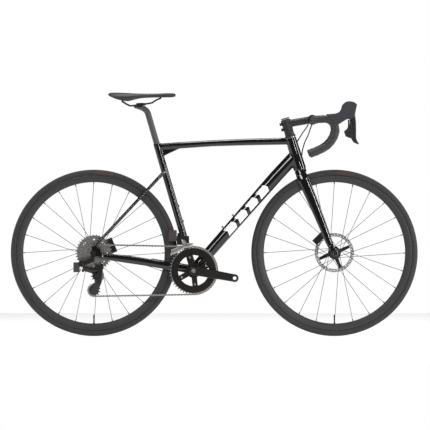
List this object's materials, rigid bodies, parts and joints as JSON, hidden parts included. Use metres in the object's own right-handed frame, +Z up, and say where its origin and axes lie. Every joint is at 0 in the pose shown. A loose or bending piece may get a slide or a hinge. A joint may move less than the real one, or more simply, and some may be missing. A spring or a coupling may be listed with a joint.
{
  "type": "road bicycle",
  "caption": "Racing bicycle with drop handlebar, disc brakes, deep rims and an electronic derailleur drivetrain, without pedals.",
  "frame": {"origin": "on the ground, under the middle of the overall box (half way between the axles)", "axes": "+X towards the front wheel, +Y to the rider's left, +Z up"},
  "size_m": [1.6575, 0.4684, 0.992],
  "materials": {
    "frame_paint": "gloss",
    "fork_paint": "gloss",
    "hanger_metal": "satin",
    "bearing_steel": "satin",
    "black_steel": "satin",
    "caliper_black": "satin",
    "hose_black": "satin",
    "group_dark": "satin",
    "battery_case": "matte",
    "fd_steel": "satin",
    "chain_steel": "satin",
    "cassette_steel": "satin",
    "cage_dark": "satin",
    "pulley_plastic": "matte",
    "post_carbon": "matte",
    "clamp_alloy": "satin",
    "rail_alloy": "satin",
    "saddle_plastic": "gloss",
    "saddle_cover": "matte",
    "stem_alloy": "satin",
    "tape_black": "matte",
    "hood_rubber": "matte",
    "lever_black": "satin",
    "tyre_rubber": "matte",
    "rim_carbon": "matte",
    "spoke_black": "satin",
    "hub_black": "satin",
    "rotor_steel": "brushed"
  },
  "bodies": {
    "frame": {"head_tube": "frame_paint", "top_tube": "frame_paint", "down_tube": "frame_paint", "seat_tube": "frame_paint", "bb_shell": "frame_paint", "chain_stays": "frame_paint", "seat_stays": "frame_paint", "derailleur_hanger": "hanger_metal", "headset_bearings": "bearing_steel", "bb_bearings": "bearing_steel", "bottle_bolts": "black_steel", "rear_thru_axle": "black_steel", "rear_caliper": "caliper_black", "rear_brake_hose": "hose_black", "front_derailleur": "group_dark", "fd_battery": "battery_case", "chain": "chain_steel", "rd_knuckle": "group_dark", "rd_battery": "battery_case"},
    "seatpost": {"seatpost": "post_carbon"},
    "rail_clamp": {"rail_clamp": "clamp_alloy"},
    "saddle": {"saddle_rails": "rail_alloy", "saddle_shell": "saddle_plastic", "saddle_pad": "saddle_cover"},
    "fork": {"fork": "fork_paint", "stem": "stem_alloy", "stem_bolts": "black_steel", "headset_spacers": "clamp_alloy", "handlebar": "stem_alloy", "bar_tape": "tape_black", "bar_plugs": "saddle_plastic", "lever_hoods": "hood_rubber", "front_thru_axle": "black_steel", "front_caliper": "caliper_black", "front_brake_hose": "hose_black"},
    "brake_lever_right": {"brake_lever_right": "lever_black"},
    "brake_lever_left": {"brake_lever_left": "lever_black"},
    "shift_paddle_right": {"shift_paddle_right": "lever_black"},
    "shift_paddle_left": {"shift_paddle_left": "lever_black"},
    "front_wheel": {"front_tyre": "tyre_rubber", "front_rim": "rim_carbon", "front_spokes": "spoke_black", "front_hub": "hub_black", "front_rotor": "rotor_steel"},
    "rear_wheel": {"rear_tyre": "tyre_rubber", "rear_rim": "rim_carbon", "rear_spokes": "spoke_black", "rear_hub": "hub_black", "rear_rotor": "rotor_steel"},
    "cassette": {"cassette": "cassette_steel"},
    "crank": {"crank_spindle": "group_dark", "crank_right": "group_dark", "crank_left": "group_dark", "chainrings": "group_dark"},
    "fd_cage": {"fd_cage": "fd_steel"},
    "rd_links": {"rd_links": "group_dark"},
    "rd_body": {"rd_body": "group_dark"},
    "rd_cage": {"rd_cage": "cage_dark"},
    "guide_pulley": {"guide_pulley": "pulley_plastic"},
    "tension_pulley": {"tension_pulley": "pulley_plastic"}
  },
  "joints": [
    {"name": "steering", "type": "hinge", "parent": "frame", "child": "fork", "pos_m": [0.33024, 0, 0.744], "axis": [-0.284, 0, 0.9588], "range_deg": [-70, 70], "deforming": ["rear_brake_hose"]},
    {"name": "front_wheel_spin", "type": "hinge", "parent": "fork", "child": "front_wheel", "pos_m": [0.4898, 0, 0.339], "axis": [0, 1, 0], "continuous": true},
    {"name": "rear_wheel_spin", "type": "hinge", "parent": "frame", "child": "rear_wheel", "pos_m": [-0.4898, 0, 0.339], "axis": [0, 1, 0], "continuous": true},
    {"name": "crank_spin", "type": "hinge", "parent": "frame", "child": "crank", "pos_m": [-0.084, 0, 0.268], "axis": [0, 1, 0], "continuous": true, "deforming": ["chain"]},
    {"name": "cassette_spin", "type": "hinge", "parent": "frame", "child": "cassette", "pos_m": [-0.4898, 0, 0.339], "axis": [0, 1, 0], "continuous": true},
    {"name": "seatpost_height", "type": "slide", "parent": "frame", "child": "seatpost", "axis": [-0.279, 0, 0.9603], "range_m": [-0.06, 0.05]},
    {"name": "saddle_tilt", "type": "hinge", "parent": "seatpost", "child": "rail_clamp", "pos_m": [-0.298, 0, 0.944], "axis": [0, 1, 0], "range_deg": [-6, 6]},
    {"name": "saddle_fore_aft", "type": "slide", "parent": "rail_clamp", "child": "saddle", "axis": [0.9903, 0, 0.1392], "range_m": [-0.012, 0.012]},
    {"name": "brake_lever_right_pull", "type": "hinge", "parent": "fork", "child": "brake_lever_right", "pos_m": [0.56, -0.21, 0.916], "axis": [0, 1, 0], "range_deg": [0, 11], "stiffness_Nm_per_rad": 2, "springref_deg": -2.86},
    {"name": "brake_lever_left_pull", "type": "hinge", "parent": "fork", "child": "brake_lever_left", "pos_m": [0.56, 0.21, 0.916], "axis": [0, 1, 0], "range_deg": [0, 11], "stiffness_Nm_per_rad": 2, "springref_deg": -2.86},
    {"name": "shift_paddle_right_push", "type": "hinge", "parent": "brake_lever_right", "child": "shift_paddle_right", "pos_m": [0.55, -0.21, 0.876], "axis": [1, 0, 0], "range_deg": [0, 8], "stiffness_Nm_per_rad": 0.5},
    {"name": "shift_paddle_left_push", "type": "hinge", "parent": "brake_lever_left", "child": "shift_paddle_left", "pos_m": [0.55, 0.21, 0.876], "axis": [1, 0, 0], "range_deg": [-8, 0], "stiffness_Nm_per_rad": 0.5},
    {"name": "fd_cage_swing", "type": "hinge", "parent": "frame", "child": "fd_cage", "pos_m": [-0.128, 0, 0.388], "axis": [0, 1, 0], "range_deg": [0, 1]},
    {"name": "rd_shift", "type": "hinge", "parent": "frame", "child": "rd_links", "pos_m": [-0.531, -0.069, 0.275], "axis": [0.2236, -0.5446, 0.8083], "range_deg": [-12, 15]},
    {"name": "rd_body_parallel", "type": "hinge", "parent": "rd_links", "child": "rd_body", "pos_m": [-0.484, -0.069, 0.262], "axis": [0.2236, -0.5446, 0.8083], "range_deg": [-15, 12]},
    {"name": "rd_cage_tension", "type": "hinge", "parent": "rd_body", "child": "rd_cage", "pos_m": [-0.475, -0.069, 0.247], "axis": [0, 1, 0], "range_deg": [-45, 10], "stiffness_Nm_per_rad": 0.6},
    {"name": "guide_pulley_spin", "type": "hinge", "parent": "rd_cage", "child": "guide_pulley", "pos_m": [-0.475, -0.0495, 0.247], "axis": [0, 1, 0], "continuous": true},
    {"name": "tension_pulley_spin", "type": "hinge", "parent": "rd_cage", "child": "tension_pulley", "pos_m": [-0.489, -0.0495, 0.1879], "axis": [0, 1, 0], "continuous": true}
  ],
  "couplings": [
    {"joint": "cassette_spin", "follows": "crank_spin", "ratio": 2.8235},
    {"joint": "guide_pulley_spin", "follows": "crank_spin", "ratio": -4},
    {"joint": "tension_pulley_spin", "follows": "crank_spin", "ratio": 4},
    {"joint": "rd_body_parallel", "follows": "rd_shift", "ratio": -1}
  ]
}
